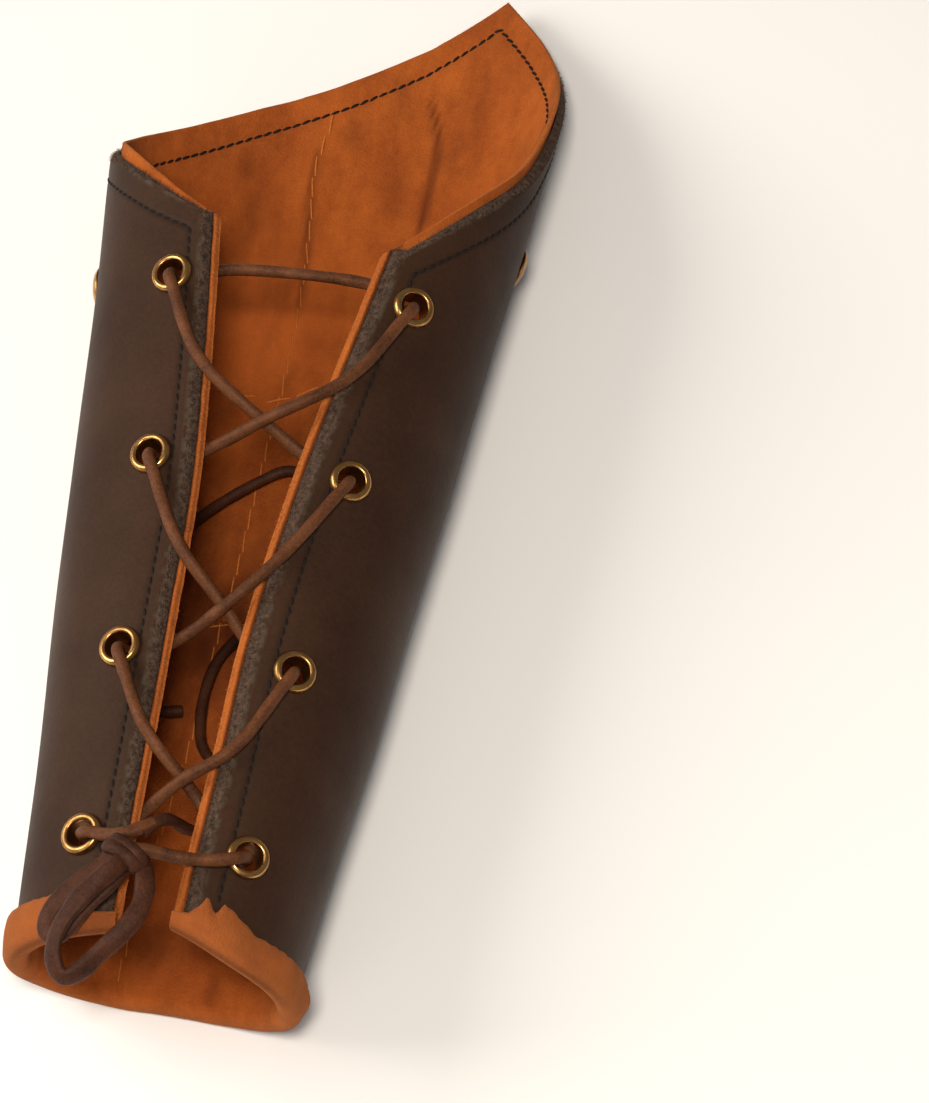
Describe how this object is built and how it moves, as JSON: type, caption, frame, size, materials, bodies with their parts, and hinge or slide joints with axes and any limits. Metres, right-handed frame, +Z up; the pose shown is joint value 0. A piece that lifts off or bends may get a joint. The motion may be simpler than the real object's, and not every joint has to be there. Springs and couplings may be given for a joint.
{
  "type": "leather bracer",
  "caption": "Laced leather forearm guard with a pointed elbow end, a suede lining rolled out at the wrist, brass eyelets, domed rivets and a tied lace.",
  "frame": {"origin": "middle of the box of the shell, lining, eyelets and rivets, on the surface that the bracer lies on", "axes": "+Y from the wrist to the elbow point, +Z up through the laced slit, +X to the right seen from the wrist"},
  "size_m": [0.11, 0.3109, 0.0703],
  "materials": {
    "shell_leather": "smooth dark brown leather, slight sheen, raw grey-brown cut edges",
    "lining_suede": "matt tan suede with a fine nap",
    "brass": "polished antique brass",
    "lace_leather": "soft brown leather lace"
  },
  "bodies": {
    "root": {"shell": "shell_leather", "lining": "lining_suede", "eyelet_left_1": "brass", "eyelet_left_2": "brass", "eyelet_left_3": "brass", "eyelet_left_4": "brass", "eyelet_right_1": "brass", "eyelet_right_2": "brass", "eyelet_right_3": "brass", "eyelet_right_4": "brass", "rivet_point": "brass", "rivet_right": "brass", "rivet_left_inner": "brass", "rivet_left_outer": "brass", "lace": "lace_leather", "lace_knot": "lace_leather", "lace_loop_back": "lace_leather", "lace_loop_front": "lace_leather", "lace_tail": "lace_leather"}
  },
  "joints": []
}
